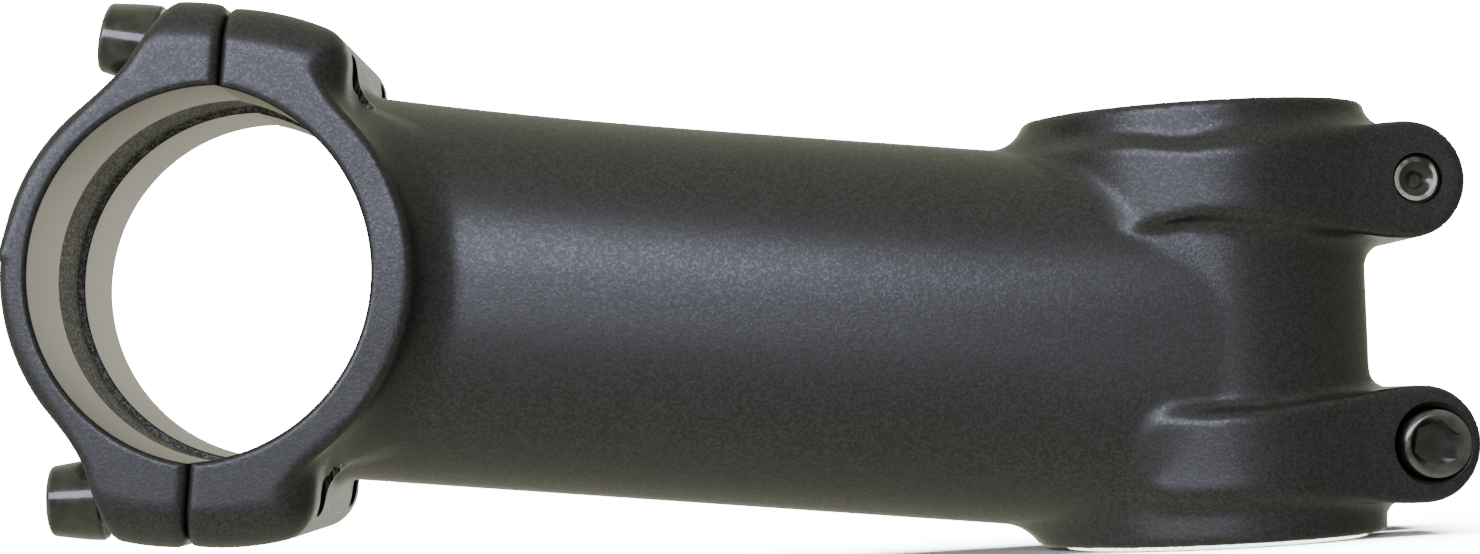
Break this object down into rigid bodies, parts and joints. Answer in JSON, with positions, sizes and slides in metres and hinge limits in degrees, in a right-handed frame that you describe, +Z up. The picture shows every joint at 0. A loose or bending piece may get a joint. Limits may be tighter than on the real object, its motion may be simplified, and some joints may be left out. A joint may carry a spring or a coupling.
{
  "type": "handlebar stem",
  "caption": "Threadless bicycle stem: hollow forged extension with a slotted steerer collar, and a bar clamp closed by a bolted faceplate.",
  "frame": {"origin": "centre of the collar's lower face, on the steerer axis", "axes": "+Z up the steerer axis, +X forward towards the handlebar, +Y to the rider's left; the extension rises 7 degrees towards +X"},
  "size_m": [0.1383, 0.042, 0.0565],
  "materials": {
    "satin_black": "satin",
    "black_steel": "gloss"
  },
  "bodies": {
    "stem_body": {"stem_body": "satin_black"},
    "faceplate": {"faceplate": "satin_black"},
    "faceplate_bolt_upper_near": {"faceplate_bolt_upper_near": "black_steel"},
    "faceplate_bolt_upper_far": {"faceplate_bolt_upper_far": "black_steel"},
    "faceplate_bolt_lower_near": {"faceplate_bolt_lower_near": "black_steel"},
    "faceplate_bolt_lower_far": {"faceplate_bolt_lower_far": "black_steel"},
    "pinch_bolt_upper": {"pinch_bolt_upper": "black_steel"},
    "pinch_bolt_lower": {"pinch_bolt_lower": "black_steel"}
  },
  "joints": [
    {"name": "faceplate_slide", "type": "slide", "parent": "stem_body", "child": "faceplate", "axis": [0.9925, 0, 0.1219], "range_m": [0, 0.0034]},
    {"name": "faceplate_bolt_upper_near_turn", "type": "hinge", "parent": "faceplate", "child": "faceplate_bolt_upper_near", "pos_m": [0.09923, 0.013, 0.05224], "axis": [0.9744, 0, 0.225], "range_deg": [0, 1531]},
    {"name": "faceplate_bolt_upper_far_turn", "type": "hinge", "parent": "faceplate", "child": "faceplate_bolt_upper_far", "pos_m": [0.09923, -0.013, 0.05224], "axis": [0.9744, 0, 0.225], "range_deg": [0, 1531]},
    {"name": "faceplate_bolt_lower_near_turn", "type": "hinge", "parent": "faceplate", "child": "faceplate_bolt_lower_near", "pos_m": [0.10604, 0.013, 0.00986], "axis": [0.9998, 0, 0.0175], "range_deg": [0, 1531]},
    {"name": "faceplate_bolt_lower_far_turn", "type": "hinge", "parent": "faceplate", "child": "faceplate_bolt_lower_far", "pos_m": [0.10604, -0.013, 0.00986], "axis": [0.9998, 0, 0.0175], "range_deg": [0, 1531]},
    {"name": "pinch_bolt_upper_slide", "type": "slide", "parent": "stem_body", "child": "pinch_bolt_upper", "axis": [0, -1, 0], "range_m": [0, 0.022]},
    {"name": "pinch_bolt_lower_slide", "type": "slide", "parent": "stem_body", "child": "pinch_bolt_lower", "axis": [0, 1, 0], "range_m": [0, 0.022]}
  ],
  "couplings": [
    {"joint": "faceplate_bolt_upper_near_turn", "follows": "faceplate_slide", "rad_per_m": 7854},
    {"joint": "faceplate_bolt_upper_far_turn", "follows": "faceplate_slide", "rad_per_m": 7854},
    {"joint": "faceplate_bolt_lower_near_turn", "follows": "faceplate_slide", "rad_per_m": 7854},
    {"joint": "faceplate_bolt_lower_far_turn", "follows": "faceplate_slide", "rad_per_m": 7854}
  ]
}
